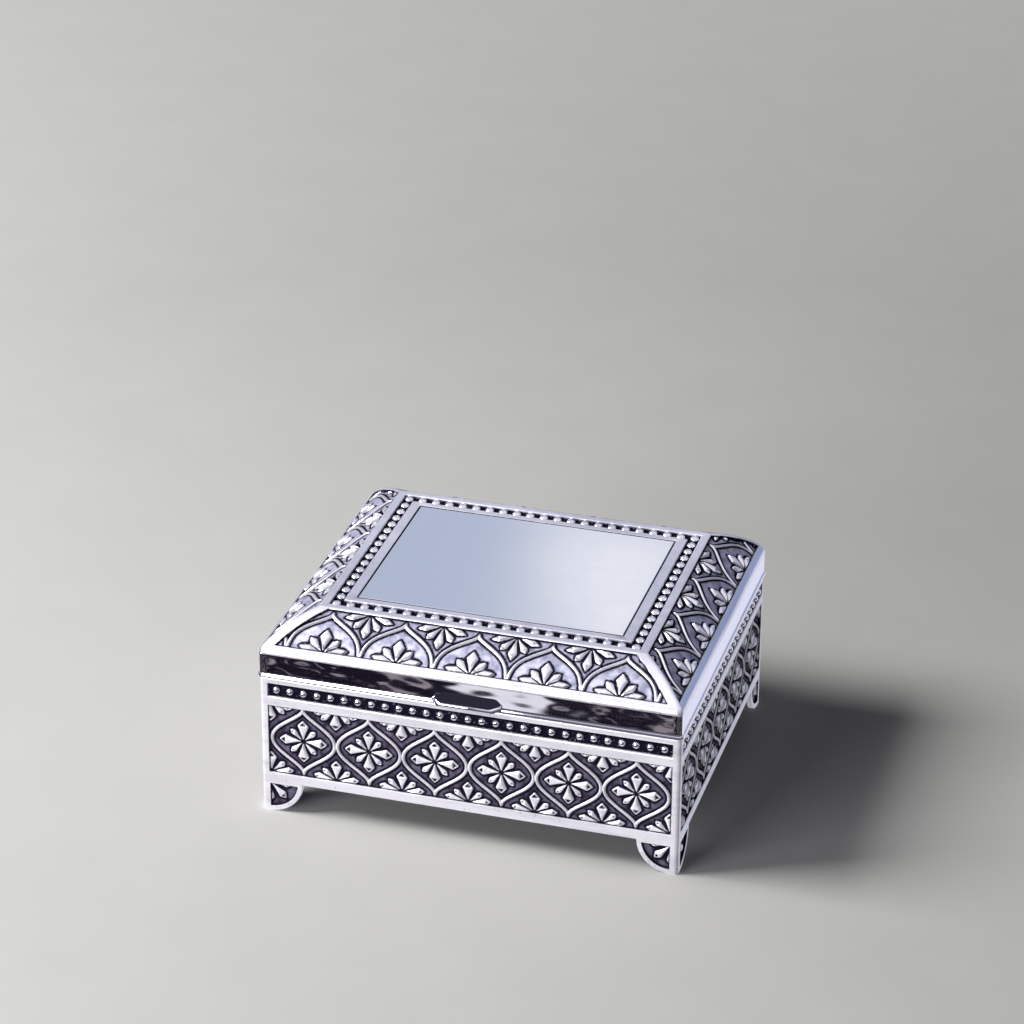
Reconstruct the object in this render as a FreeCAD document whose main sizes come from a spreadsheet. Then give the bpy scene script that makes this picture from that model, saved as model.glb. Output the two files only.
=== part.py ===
import FreeCAD, Part
import math
import os
import re
import Sketcher

# A rectangular silver-plated trinket box with a hipped lid that is hinged at the back.
# Frame: the origin is on the resting plane under the middle of the box, +X is the box's
# right, -Y its front (the side with the thumb lift) and +Z is up.  Millimetres.

SIZES = {
    # case: four cast walls, mitred at the corners, over four bracket feet
    "case_length": 101.8,
    "case_depth": 84.0,
    "case_top": 36.2,
    "wall": 1.2,
    "corner_round": 1.0,
    "foot_height": 8.1,
    "foot_post": 2.0,
    # recessed ornament fields in each wall: one tall panel and a narrow band for beads
    "field_recess": 0.4,
    "post_width": 1.9,
    "panel_low": 10.2,
    "panel_high": 28.9,
    "band_low": 31.1,
    "band_high": 34.7,
    # floor and underside
    "floor_low": 9.1,
    "floor_thickness": 0.9,
    "felt_thickness": 0.7,
    "felt_margin": 0.8,
    # velvet lining of the case; its strips stand proud of the walls and locate the lid
    "liner_thickness": 1.3,
    "liner_proud": 1.6,
    "card_thickness": 0.9,
    "base_pad_thickness": 2.6,
    "pad_margin": 0.1,
    # lid: pressed shell with a plain rim, curved slopes and a flat top
    "lid_length": 102.0,
    "lid_depth": 84.2,
    "lid_low": 36.35,
    "eave_height": 43.4,
    "lid_top": 51.1,
    "flat_length": 78.6,
    "flat_depth": 61.9,
    "slope_bulge": 1.0,
    "shell": 1.0,
    "lip_height": 0.7,
    "lip_proud": 0.35,
    # engraving plate let into the lid's flat top
    "plate_length": 64.2,
    "plate_depth": 48.6,
    "plate_thickness": 0.5,
    "plate_gap": 0.2,
    # thumb lift on the front of the rim
    "thumb_back_width": 16.7,
    "thumb_front_width": 12.9,
    "thumb_reach": 2.8,
    "thumb_square": 0.9,
    "thumb_thickness": 1.1,
    # velvet panel that closes the lid's underside
    "lid_pad_low": 38.5,
    "lid_pad_thickness": 2.0,
    # hinge on the back
    "hinge_length": 36.0,
    "hinge_height": 36.3,
    "hinge_offset": 1.5,
    "knuckle_gap": 0.2,
    "barrel_radius": 1.3,
    "barrel_gap": 0.2,
    "pin_radius": 0.6,
    "pin_play": 0.05,
    "pin_head": 0.4,
    "leaf_thickness": 0.6,
    "leaf_reach": 5.6,
    "rivet_radius": 0.6,
    "rivet_head_radius": 1.0,
    "rivet_head_height": 0.4,
    "rivet_pitch": 13.0,
    "rivet_rise": 3.6,
    "notch_margin": 0.5,
}
KNUCKLES = 5
RIVETS = (-1, 0, 1)
OUTSIDE = 2.0

doc = FreeCAD.newDocument("trinket_box")
sheet = doc.addObject("Spreadsheet::Sheet", "Sizes")
for row, (alias, value) in enumerate(SIZES.items(), start=1):
    sheet.set(f"A{row}", alias)
    sheet.set(f"B{row}", str(value))
    sheet.setAlias(f"B{row}", alias)
doc.recompute()

nodes = []


# ---------------------------------------------------------------- helpers
def formula(text):
    """A formula in the sheet's own names, written as the expression FreeCAD wants."""
    return re.sub(r"[a-z_]+", lambda word: f"Sizes.{word[0]}" if word[0] in SIZES else word[0], str(text))


def number(text):
    """The present value of a formula."""
    return float(sheet.evalExpression(formula(text)))


def bind(thing, **properties):
    """Bind properties to formulas; a double underscore stands for a dot in the property's path."""
    for path, text in properties.items():
        thing.setExpression(path.replace("__", "."), formula(text))


def place(thing, x=0, y=0, z=0):
    bind(thing, Placement__Base__x=x, Placement__Base__y=y, Placement__Base__z=z)


def node(thing, name):
    """Register a finished sub-part under its node name."""
    thing.Label = name
    nodes.append(thing)
    return thing


def origin_plane(body, role):
    return next(plane for plane in body.Origin.OriginFeatures if plane.Role == role)


def arc_through(start, end, radius):
    """The short arc from start to end; a positive radius bulges to the left of that direction."""
    chord = end - start
    half = chord.Length / 2
    left = FreeCAD.Vector(-chord.y, chord.x, 0).normalize()
    sagitta = abs(radius) - math.sqrt(radius * radius - half * half)
    middle = (start + end) * 0.5 + left * math.copysign(sagitta, radius)
    return Part.Arc(start, middle, end)


def bind_constraint(sketch, name, constraint, text):
    index = sketch.addConstraint(constraint)
    sketch.renameConstraint(index, name)
    sketch.setExpression(f"Constraints.{name}", formula(text))


def draw_outline(sketch, outline):
    """Add one closed outline, every corner and radius of it bound to the sheet.

    Each entry is (x, y) or (x, y, radius): a corner, and the radius of the arc to the next
    corner where that stretch is round.
    """
    first = sketch.GeometryCount
    corners = [FreeCAD.Vector(number(entry[0]), number(entry[1]), 0) for entry in outline]
    for index, entry in enumerate(outline):
        start, end = corners[index], corners[(index + 1) % len(corners)]
        if len(entry) == 3:
            sketch.addGeometry(arc_through(start, end, number(entry[2])))
        else:
            sketch.addGeometry(Part.LineSegment(start, end))
    # an arc always runs anticlockwise, so its first end may be at either corner
    ends = []
    for index, corner in enumerate(corners):
        starts_here = (sketch.getPoint(first + index, 1) - corner).Length < 1e-6
        ends.append((1, 2) if starts_here else (2, 1))
    for index, entry in enumerate(outline):
        curve = first + index
        following = (index + 1) % len(corners)
        next_start = (first + following, ends[following][0])
        sketch.addConstraint(Sketcher.Constraint("Coincident", curve, ends[index][1], *next_start))
        across = Sketcher.Constraint("DistanceX", -1, 1, curve, ends[index][0], corners[index].x)
        along = Sketcher.Constraint("DistanceY", -1, 1, curve, ends[index][0], corners[index].y)
        bind_constraint(sketch, f"x{curve}", across, entry[0])
        bind_constraint(sketch, f"y{curve}", along, entry[1])
        if len(entry) == 3:
            radius = Sketcher.Constraint("Radius", curve, abs(number(entry[2])))
            bind_constraint(sketch, f"radius{curve}", radius, f"abs({entry[2]})")


def sketch_on(body, name, plane, outlines, offset):
    """A sketch of closed outlines, parallel to one of the body's own origin planes."""
    sketch = body.newObject("Sketcher::SketchObject", name)
    sketch.AttachmentSupport = [(origin_plane(body, plane), "")]
    sketch.MapMode = "FlatFace"
    bind(sketch, AttachmentOffset__Base__z=offset)
    for outline in outlines:
        draw_outline(sketch, outline)
    return sketch


def new_body(name):
    return doc.addObject("PartDesign::Body", f"{name}_body")


def pad(body, name, plane, outlines, length, offset="0", midplane=False):
    feature = body.newObject("PartDesign::Pad", name)
    feature.Profile = sketch_on(body, f"{name}_sketch", plane, outlines, offset)
    feature.Midplane = midplane
    bind(feature, Length=length)
    return feature


def pocket(body, name, plane, outlines, depth=None, offset="0"):
    """Cut outlines out of the body, to a depth behind their plane or, with none, right through."""
    doc.recompute()
    before = body.Shape.Volume
    feature = body.newObject("PartDesign::Pocket", name)
    feature.Profile = sketch_on(body, f"{name}_sketch", plane, outlines, offset)
    if depth is None:
        feature.Type = "ThroughAll"
        feature.Midplane = True
    else:
        bind(feature, Length=depth)
    doc.recompute()
    if body.Shape.Volume >= before:
        raise RuntimeError(f"{name} cuts nothing")
    return feature


def rectangle(left, low, right, high):
    return [(left, low), (right, low), (right, high), (left, high)]


def turn(body, quarter_turns):
    """Turn a body about the upright axis, a quarter at a time."""
    body.Placement.Rotation = FreeCAD.Rotation(FreeCAD.Vector(0, 0, 1), 90 * quarter_turns)


def block(name, length, width, height, z, x="0", y="0"):
    """A block that is centred on x and y and stands on z."""
    solid = doc.addObject("Part::Box", f"{name}_block")
    bind(solid, Length=length, Width=width, Height=height)
    place(solid, f"{x} - ({length}) / 2", f"{y} - ({width}) / 2", z)
    return solid


def rod(name, radius, length, axis, x, y, z):
    """A cylinder that starts at a point and runs along an axis."""
    solid = doc.addObject("Part::Cylinder", f"{name}_rod")
    solid.Placement.Rotation = FreeCAD.Rotation(FreeCAD.Vector(0, 0, 1), axis)
    bind(solid, Radius=radius, Height=length)
    place(solid, x, y, z)
    return solid


def fuse(name, shapes):
    joined = doc.addObject("Part::MultiFuse", name)
    joined.Shapes = shapes
    return joined


def cut(name, base, tools):
    result = doc.addObject("Part::Cut", name)
    result.Base = base
    result.Tool = tools[0] if len(tools) == 1 else fuse(f"{name}_tools", tools)
    return result


ALONG_X = FreeCAD.Vector(1, 0, 0)
ALONG_Y = FreeCAD.Vector(0, 1, 0)
HALF_LENGTH = "case_length / 2"
HALF_DEPTH = "case_depth / 2"
FLOOR_TOP = "(floor_low + floor_thickness)"
INNER_LENGTH = "(case_length - 2 * wall)"
INNER_DEPTH = "(case_depth - 2 * wall)"
LID_HALF_LENGTH = "lid_length / 2"
LID_HALF_DEPTH = "lid_depth / 2"
LIP_TOP = "(lid_low + lip_height)"
HINGE_Y = f"({LID_HALF_DEPTH} + hinge_offset)"


# ---------------------------------------------------------------- rivets and their holes
def rivet_places(way):
    """x and z of each rivet of one hinge leaf: above the hinge (way 1) or below it (way -1)."""
    return [(f"{place_index} * rivet_pitch", f"hinge_height + {way} * rivet_rise") for place_index in RIVETS]


def rivet_holes(name, face, depth, way):
    """Cutters for one leaf's rivets, from its outer face towards the inside of the box."""
    holes = []
    for index, (x, z) in enumerate(rivet_places(way)):
        start = f"{face} + leaf_thickness - ({depth})"
        hole = rod(f"{name}_hole_{index}", "rivet_radius + pin_play", depth, ALONG_Y, x, start, z)
        holes.append(hole)
    return holes


def rivet_row(name, face, grip, way):
    """Three rivets: a shank through the leaf and the wall behind it, and a rounded head outside."""
    rivets = []
    for index, (x, z) in enumerate(rivet_places(way)):
        head_face = f"{face} + leaf_thickness"
        shank = rod(f"{name}_shank_{index}", "rivet_radius", grip, ALONG_Y, x, f"{head_face} - ({grip})", z)
        head = rod(f"{name}_head_{index}", "rivet_head_radius", "rivet_head_height", ALONG_Y, x, head_face, z)
        rivets.append(fuse(f"{name}_rivet_{index}", [shank, head]))
    group = doc.addObject("Part::Compound", f"{name}_group")
    group.Links = rivets
    return node(group, name)


# ---------------------------------------------------------------- case walls
def wall_plan(half_run, half_span):
    """A wall seen from above: mitred ends, rounded outer corners, outer face at y = -half_span."""
    end = f"({half_run} - corner_round)"
    mitre = f"({half_run} - corner_round * (1 - sqrt(0.5)))"
    mitre_depth = f"-({half_span} - corner_round * (1 - sqrt(0.5)))"
    inner = f"({half_run} - wall)"
    inner_depth = f"-({half_span} - wall)"
    return [
        (f"-{inner}", inner_depth),
        (f"-{mitre}", mitre_depth, "-corner_round"),
        (f"-{end}", f"-({half_span})"),
        (end, f"-({half_span})", "-corner_round"),
        (mitre, mitre_depth),
        (inner, inner_depth),
    ]


def case_wall(name, half_run, half_span, quarter_turns):
    """One cast wall with its two recessed ornament fields, turned to its side of the box."""
    body = new_body(name)
    plan = wall_plan(half_run, half_span)
    pad(body, f"{name}_plate", "XY_Plane", [plan], "case_top - foot_height", "foot_height")
    edge = f"({half_run} - post_width)"
    for field in ("panel", "band"):
        outline = rectangle(f"-{edge}", f"{field}_low", edge, f"{field}_high")
        pocket(body, f"{name}_{field}", "XZ_Plane", [outline], "field_recess", half_span)
    turn(body, quarter_turns)
    return body


node(case_wall("front_wall", HALF_LENGTH, HALF_DEPTH, 0), "front_wall")
node(case_wall("right_wall", HALF_DEPTH, HALF_LENGTH, 1), "right_wall")
node(case_wall("left_wall", HALF_DEPTH, HALF_LENGTH, 3), "left_wall")
back_plaque = case_wall("back_plaque", HALF_LENGTH, HALF_DEPTH, 2)
back_holes = rivet_holes("back_wall", HALF_DEPTH, "leaf_thickness + wall", -1)
node(cut("back_wall", back_plaque, back_holes), "back_wall")


# ---------------------------------------------------------------- bracket feet
def bracket_foot(name, side_x, side_y, quarter_turns):
    """Two quarter-round plates that meet at a corner of the box, which is this body's origin."""
    body = new_body(name)
    reach = "(foot_post + foot_height)"
    plan = [
        (f"-{reach}", 0),
        ("-corner_round", 0, "-corner_round"),
        (0, "corner_round"),
        (0, reach),
        ("-wall", reach),
        ("-wall", "wall"),
        (f"-{reach}", "wall"),
    ]
    pad(body, f"{name}_bracket", "XY_Plane", [plan], "foot_height")
    for face, plane, way in (("front", "XZ_Plane", -1), ("side", "YZ_Plane", 1)):
        outside = [
            (f"{way} * foot_post", 0, f"{-way} * foot_height"),
            (f"{way} * {reach}", "foot_height"),
            (f"{way} * ({reach} + {OUTSIDE})", "foot_height"),
            (f"{way} * ({reach} + {OUTSIDE})", -OUTSIDE),
            (f"{way} * foot_post", -OUTSIDE),
        ]
        pocket(body, f"{name}_{face}_curve", plane, [outside])
    turn(body, quarter_turns)
    place(body, f"{side_x} * case_length / 2", f"{side_y} * case_depth / 2")
    return node(body, name)


bracket_foot("front_right_foot", 1, -1, 0)
bracket_foot("back_right_foot", 1, 1, 1)
bracket_foot("back_left_foot", -1, 1, 2)
bracket_foot("front_left_foot", -1, -1, 3)


# ---------------------------------------------------------------- floor and underside
node(block("floor", INNER_LENGTH, INNER_DEPTH, "floor_thickness", "floor_low"), "floor_plate")
felt_length = f"{INNER_LENGTH} - 2 * felt_margin"
felt_depth = f"{INNER_DEPTH} - 2 * felt_margin"
node(block("felt", felt_length, felt_depth, "felt_thickness", "floor_low - felt_thickness"), "underside_felt")


# ---------------------------------------------------------------- velvet lining of the case
def liner(name, half_run, half_span, quarter_turns):
    """A mitred strip against the inside of one wall."""
    body = new_body(name)
    run = f"({half_run} - wall)"
    span = f"({half_span} - wall)"
    plan = [
        (f"-({run} - liner_thickness)", f"-({span} - liner_thickness)"),
        (f"-{run}", f"-{span}"),
        (run, f"-{span}"),
        (f"{run} - liner_thickness", f"-({span} - liner_thickness)"),
    ]
    pad(body, f"{name}_strip", "XY_Plane", [plan], f"case_top + liner_proud - {FLOOR_TOP}", FLOOR_TOP)
    turn(body, quarter_turns)
    return node(body, name)


liner("front_liner", HALF_LENGTH, HALF_DEPTH, 0)
liner("right_liner", HALF_DEPTH, HALF_LENGTH, 1)
liner("back_liner", HALF_LENGTH, HALF_DEPTH, 2)
liner("left_liner", HALF_DEPTH, HALF_LENGTH, 3)

bed_length = f"{INNER_LENGTH} - 2 * liner_thickness - 2 * pad_margin"
bed_depth = f"{INNER_DEPTH} - 2 * liner_thickness - 2 * pad_margin"
node(block("base_card", bed_length, bed_depth, "card_thickness", FLOOR_TOP), "base_card")
bed_low = f"{FLOOR_TOP} + card_thickness"
node(block("base_pad", bed_length, bed_depth, "base_pad_thickness", bed_low), "base_pad")


# ---------------------------------------------------------------- lid shell
def slope_radius(run, rise):
    """The radius of a slope that bulges by slope_bulge over the middle of its chord."""
    return f"((({run})^2 + ({rise})^2) / (8 * slope_bulge) + slope_bulge / 2)"


def lid_block(name, inset, base):
    """The lid's form, or its hollow with an inset: a profile run from front to back, then trimmed at both."""
    body = new_body(name)
    eave = f"(eave_height - {inset} / 2)"
    top = f"(lid_top - {inset})"
    half_x = f"({LID_HALF_LENGTH} - {inset})"
    half_y = f"({LID_HALF_DEPTH} - {inset})"
    flat_x = "flat_length / 2"
    flat_y = "flat_depth / 2"
    radius_x = slope_radius(f"{half_x} - {flat_x}", f"{top} - {eave}")
    radius_y = slope_radius(f"{half_y} - {flat_y}", f"{top} - {eave}")
    profile = [
        (f"-{half_x}", base),
        (half_x, base),
        (half_x, eave, f"-{radius_x}"),
        (flat_x, top),
        (f"-{flat_x}", top, f"-{radius_x}"),
        (f"-{half_x}", eave),
    ]
    pad(body, f"{name}_run", "XZ_Plane", [profile], f"2 * {half_y}", midplane=True)
    above = f"({top} + {OUTSIDE})"
    trims = []
    for way in (-1, 1):
        trim = [
            (f"{way} * {half_y}", eave, f"{-way} * {radius_y}"),
            (f"{way} * {flat_y}", top),
            (f"{way} * {flat_y}", above),
            (f"{way} * ({half_y} + {OUTSIDE})", above),
            (f"{way} * ({half_y} + {OUTSIDE})", eave),
        ]
        trims.append(trim)
    pocket(body, f"{name}_trim", "YZ_Plane", trims)
    return body


def centred_rectangle(half_x, half_y):
    return rectangle(f"-({half_x})", f"-({half_y})", half_x, half_y)


def lid_details(body):
    """The lip round the rim's foot, open behind for the hinge, and the seat of the engraving plate."""
    lip = centred_rectangle(f"{LID_HALF_LENGTH} + lip_proud", f"{LID_HALF_DEPTH} + lip_proud")
    pad(body, "lip", "XY_Plane", [lip], "lip_height", "lid_low")
    notch_x = "(hinge_length / 2 + notch_margin)"
    notch = rectangle(f"-{notch_x}", LID_HALF_DEPTH, notch_x, f"{LID_HALF_DEPTH} + {OUTSIDE}")
    pocket(body, "hinge_notch", "XY_Plane", [notch], "lip_height", LIP_TOP)
    seat = centred_rectangle("plate_length / 2 + plate_gap", "plate_depth / 2 + plate_gap")
    pocket(body, "plate_seat", "XY_Plane", [seat], "plate_thickness", "lid_top")


lid_form = lid_block("lid_form", "0", "lid_low")
lid_details(lid_form)
lid_hollow = lid_block("lid_hollow", "shell", f"lid_low - {OUTSIDE}")
lid_holes = rivet_holes("lid", LID_HALF_DEPTH, "leaf_thickness + shell", 1)
node(cut("lid_shell", lid_form, [lid_hollow, *lid_holes]), "lid_shell")

plate_low = "lid_top - plate_thickness"
node(block("engraving_plate", "plate_length", "plate_depth", "plate_thickness", plate_low), "engraving_plate")


# ---------------------------------------------------------------- thumb lift
def thumb_lift():
    """A small shelf on the lip, square at the rim and cut off slanting at its front corners."""
    body = new_body("thumb_lift")
    back = f"-{LID_HALF_DEPTH}"
    plan = [
        ("-thumb_back_width / 2", back),
        ("-thumb_back_width / 2", f"{back} - thumb_square"),
        ("-thumb_front_width / 2", f"{back} - thumb_reach"),
        ("thumb_front_width / 2", f"{back} - thumb_reach"),
        ("thumb_back_width / 2", f"{back} - thumb_square"),
        ("thumb_back_width / 2", back),
    ]
    pad(body, "thumb_shelf", "XY_Plane", [plan], "thumb_thickness", LIP_TOP)
    return node(body, "thumb_lift")


thumb_lift()


# ---------------------------------------------------------------- velvet panel inside the lid
panel_length = "lid_length - 2 * shell - 2 * pad_margin"
panel_depth = "lid_depth - 2 * shell - 2 * pad_margin"
node(block("lid_pad", panel_length, panel_depth, "lid_pad_thickness", "lid_pad_low"), "lid_pad")
card_low = "lid_pad_low + lid_pad_thickness"
node(block("lid_card", panel_length, panel_depth, "card_thickness", card_low), "lid_card")


# ---------------------------------------------------------------- hinge
def barrel_rod(name, radius, length, start):
    """A cylinder on the hinge's axis, from a start in x."""
    return rod(name, radius, length, ALONG_X, start, HINGE_Y, "hinge_height")


def hinge_leaf(name, face, own_knuckles, way, grip):
    """A leaf on a back face, above the pin (way 1) or below it (way -1), with its share of the knuckles."""
    pitch = f"hinge_length / {KNUCKLES}"
    clear = "(barrel_radius + barrel_gap)"
    plate_z = f"hinge_height + {clear}" if way > 0 else "hinge_height - leaf_reach"
    middle = f"{face} + leaf_thickness / 2"
    height = f"leaf_reach - {clear}"
    pieces = [block(name, "hinge_length - knuckle_gap", "leaf_thickness", height, plate_z, y=middle)]
    for index in own_knuckles:
        centre = f"(({index} + 0.5) * {pitch} - hinge_length / 2)"
        width = f"({pitch} - knuckle_gap)"
        web_z = "hinge_height" if way > 0 else f"hinge_height - {clear}"
        pieces.append(block(f"{name}_web_{index}", width, "leaf_thickness", clear, web_z, centre, middle))
        start = f"{centre} - {width} / 2"
        pieces.append(barrel_rod(f"{name}_knuckle_{index}", "barrel_radius", width, start))
    bore = barrel_rod(f"{name}_bore", "pin_radius + pin_play", "hinge_length", "-hinge_length / 2")
    holes = rivet_holes(name, face, grip, way)
    return node(cut(name, fuse(f"{name}_blank", pieces), [bore, *holes]), name)


def hinge_pin():
    """The pin through all the knuckles, with a flat head at each end."""
    start = "-hinge_length / 2 - pin_head"
    shaft = barrel_rod("pin_shaft", "pin_radius", "hinge_length + 2 * pin_head", start)
    left_head = barrel_rod("pin_left_head", "pin_radius + pin_head", "pin_head", start)
    right_head = barrel_rod("pin_right_head", "pin_radius + pin_head", "pin_head", "hinge_length / 2")
    return node(fuse("hinge_pin", [shaft, left_head, right_head]), "hinge_pin")


CASE_KNUCKLES = range(0, KNUCKLES, 2)
LID_KNUCKLES = range(1, KNUCKLES, 2)
case_grip = "leaf_thickness + wall"
lid_grip = "leaf_thickness + shell"
hinge_leaf("case_hinge_leaf", HALF_DEPTH, CASE_KNUCKLES, -1, case_grip)
hinge_leaf("lid_hinge_leaf", LID_HALF_DEPTH, LID_KNUCKLES, 1, lid_grip)
hinge_pin()
rivet_row("case_hinge_rivets", HALF_DEPTH, case_grip, -1)
rivet_row("lid_hinge_rivets", LID_HALF_DEPTH, lid_grip, 1)


# ---------------------------------------------------------------- check and write
def check_document():
    for thing in doc.Objects:
        if {"Invalid", "Error"} & set(thing.State):
            raise RuntimeError(f"{thing.Label} is not computed: {thing.State}")
    for thing in nodes:
        if thing.Shape.isNull() or not thing.Shape.isValid() or not thing.Shape.Solids:
            raise RuntimeError(f"{thing.Label} has no valid solid")


doc.recompute()
check_document()
os.makedirs("parts", exist_ok=True)
for thing in nodes:
    thing.Shape.exportStep(f"parts/{thing.Label}.step")
    print(f"{thing.Label}: {thing.Shape.Volume:.1f} mm3, {len(thing.Shape.Solids)} solid(s)")
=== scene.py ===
import math

import bmesh
import bpy
import numpy as np
from mathutils import Matrix, Vector


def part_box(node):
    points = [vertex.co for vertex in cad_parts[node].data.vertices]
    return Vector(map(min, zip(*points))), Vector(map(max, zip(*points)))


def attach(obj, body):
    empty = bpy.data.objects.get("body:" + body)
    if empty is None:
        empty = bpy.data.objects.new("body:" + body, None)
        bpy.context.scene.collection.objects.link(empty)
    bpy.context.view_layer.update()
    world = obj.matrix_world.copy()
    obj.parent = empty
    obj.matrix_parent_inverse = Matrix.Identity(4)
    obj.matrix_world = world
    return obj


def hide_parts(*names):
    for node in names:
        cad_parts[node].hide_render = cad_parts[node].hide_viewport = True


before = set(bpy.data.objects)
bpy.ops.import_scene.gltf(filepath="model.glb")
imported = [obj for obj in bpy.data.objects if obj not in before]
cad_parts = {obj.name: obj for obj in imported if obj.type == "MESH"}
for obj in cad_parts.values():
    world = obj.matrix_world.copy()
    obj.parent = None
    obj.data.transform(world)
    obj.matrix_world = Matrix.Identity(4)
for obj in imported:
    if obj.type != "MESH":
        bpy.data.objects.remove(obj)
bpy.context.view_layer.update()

# Shapes are worked out in millimetres and turned into metres as each mesh is made.
MM = 0.001


def mm_box(node):
    """The lowest and highest corners of a CAD node, in millimetres."""
    low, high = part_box(node)
    return np.array(low) / MM, np.array(high) / MM


# ------------ sizes read from the frame
case_half_x = mm_box("right_wall")[1][0]
case_half_y = -mm_box("front_wall")[0][1]
wall_low, wall_high = mm_box("front_wall")
case_top = wall_high[2]
foot_height = wall_low[2]
wall_thickness = wall_high[1] - wall_low[1]
foot_reach = mm_box("front_right_foot")[1][0] - mm_box("front_right_foot")[0][0]
shell_low, shell_high = mm_box("lid_shell")
plate_low, plate_high = mm_box("engraving_plate")
hinge_half_length = mm_box("case_hinge_leaf")[1][0]
thumb_low, thumb_high = mm_box("thumb_lift")
crest = shell_high[2]

# ------------ sizes of the ornament
# Walls: rounded corners, plain posts and rails round a tall panel, and a narrow band of beads above it.
CORNER_ROUND = 1.0
TOP_ROUND = 0.4
POST = 1.9
PANEL_LOW, PANEL_HIGH = 10.5, 28.8
BAND_LOW, BAND_HIGH = 31.1, 34.7
WALL_BEAD = 0.9
LONG_WALL = {"medallions": 6, "pitch": 16.2, "beads": 29, "bead_gap": 3.35}
SHORT_WALL = {"medallions": 5, "pitch": 16.1, "beads": 24, "bead_gap": 3.32}

# Lid: an upright rim over a small lip, four bulging slopes that meet in rounded hips, and a flat top.
LIP_PROUD = 0.35
LIP_HEIGHT = 0.7
EAVE_HEIGHT = 43.4
RIM_TOP = EAVE_HEIGHT - 0.9
LID_WALL = 1.0
LID_CORNER = 1.2
HIP_ROUND = 0.5
FLAT_HALF_X = 39.3
FLAT_HALF_Y = 30.95
BULGE_IN, BULGE_UP = 0.047, 0.108
EAVE_SHARE = 0.05
EAVE_STEPS = 5
SLOPE_STEPS = 92
HINGE_NOTCH = 18.5
LONG_SLOPE = {"arches": 5, "hip_strip": 2.0, "foot_strip": 1.6}
SHORT_SLOPE = {"arches": 4, "hip_strip": 0.8, "foot_strip": 1.9}
ARCH_PITCH = 17.8
lid_half_x = shell_high[0] - LIP_PROUD
lid_half_y = shell_high[1] - LIP_PROUD

# Flat top: a border, a channel of beads, and a thin gap round the plate.
TOP_BORDER, TOP_CHANNEL = 1.6, 2.8
TOP_BEAD = 1.1
TOP_BEADS_X, TOP_BEADS_Y = 22, 17
# The share of the dull ground finish on the flat top's plain strips: rougher, and darker in colour as
# painted shade that tones down the light on the top.
TOP_DULLNESS_AND_SHADE = 0.28
PLATE_GAP = 0.3

# Relief: how deep the fields lie, how finely their surface is drawn, and how far a black outline reaches.
FIELD_DEPTH = 0.58
BAND_DEPTH = 0.7
LINE_HALF = 0.43
GRID = 0.18
SAMPLE_SPREAD = 0.27 * GRID
OUTLINE_REACH = 1.5
FORM_EDGE = 0.4
FIELD_WALL = 0.22

# Unevenness of the polished faces, and how near a side a point of the rim belongs to it.
RIM_WAVE, RIM_SIDE = 0.007, 1.5
PLATE_WAVE = 0.012

# ------------ floor and camera, in metres and degrees
FLOOR_RADIUS = 3.0
FLOOR_SIDES = 96
# How far from the box the floor's painted glow starts and reaches full strength.
FLOOR_GLOW_RANGE = (0.3, 1.5)
BACKDROP = (0.62, 0.62, 0.61)
CAMERA_AZIMUTH = 16.23
CAMERA_ELEVATION = 27.3
CAMERA_DISTANCE = 0.893
CAMERA_AIM = (-0.0042, 0.0085, 0.0615)
CAMERA_ROLL = 0.3
CAMERA_LENS = 131.2


# ------------ relief
def smooth(value):
    """0 below 0, 1 above 1, and a soft step between."""
    value = np.clip(value, 0, 1)
    return value * value * (3 - 2 * value)


FAR_OUTSIDE = 9.0


class Relief:
    """Raised forms over a floor: their height, and how far inside or outside a form each point is."""

    def __init__(self, u, v):
        self.u = u
        self.v = v
        self.height = np.zeros_like(u)
        self.inside = np.full_like(u, -FAR_OUTSIDE)
        self.hollow = np.zeros_like(u)
        self.row_low = u.min(axis=1)
        self.row_high = u.max(axis=1)

    def near(self, middle, reach):
        """The rows of the grid that a form round a place along u can touch."""
        reach = reach + OUTLINE_REACH
        return (self.row_low < middle + reach) & (self.row_high > middle - reach)

    def add(self, rows, inside, height, hollow):
        """Lays a form over the rows it touches; the higher form wins at each point."""
        rise = height * smooth(inside / FORM_EDGE)
        higher = rise > self.height[rows]
        self.height[rows] = np.where(higher, rise, self.height[rows])
        self.hollow[rows] = np.where(higher, hollow, self.hollow[rows])
        self.inside[rows] = np.maximum(self.inside[rows], inside)


# A petal: where its stem starts, as a share of its length, how thin the stem is, and how fast it widens.
STEM_START, STEM_WIDTH, STEM_GROWTH = 0.1, 0.12, 1.25
# Its height at the start, the rise towards its tip, its ridge, the ridge that a fold adds, and its hollow.
PETAL_LOW, PETAL_RISE, RIDGE, FOLD_RIDGE, HOLLOW_DEPTH = 0.36, 0.1, 0.07, 0.16, 0.36
# How far inside the petal's outline its hollow starts, and how wide the hollow's own slope is.
HOLLOW_INSET, HOLLOW_SLOPE = 0.18, 0.4


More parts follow.
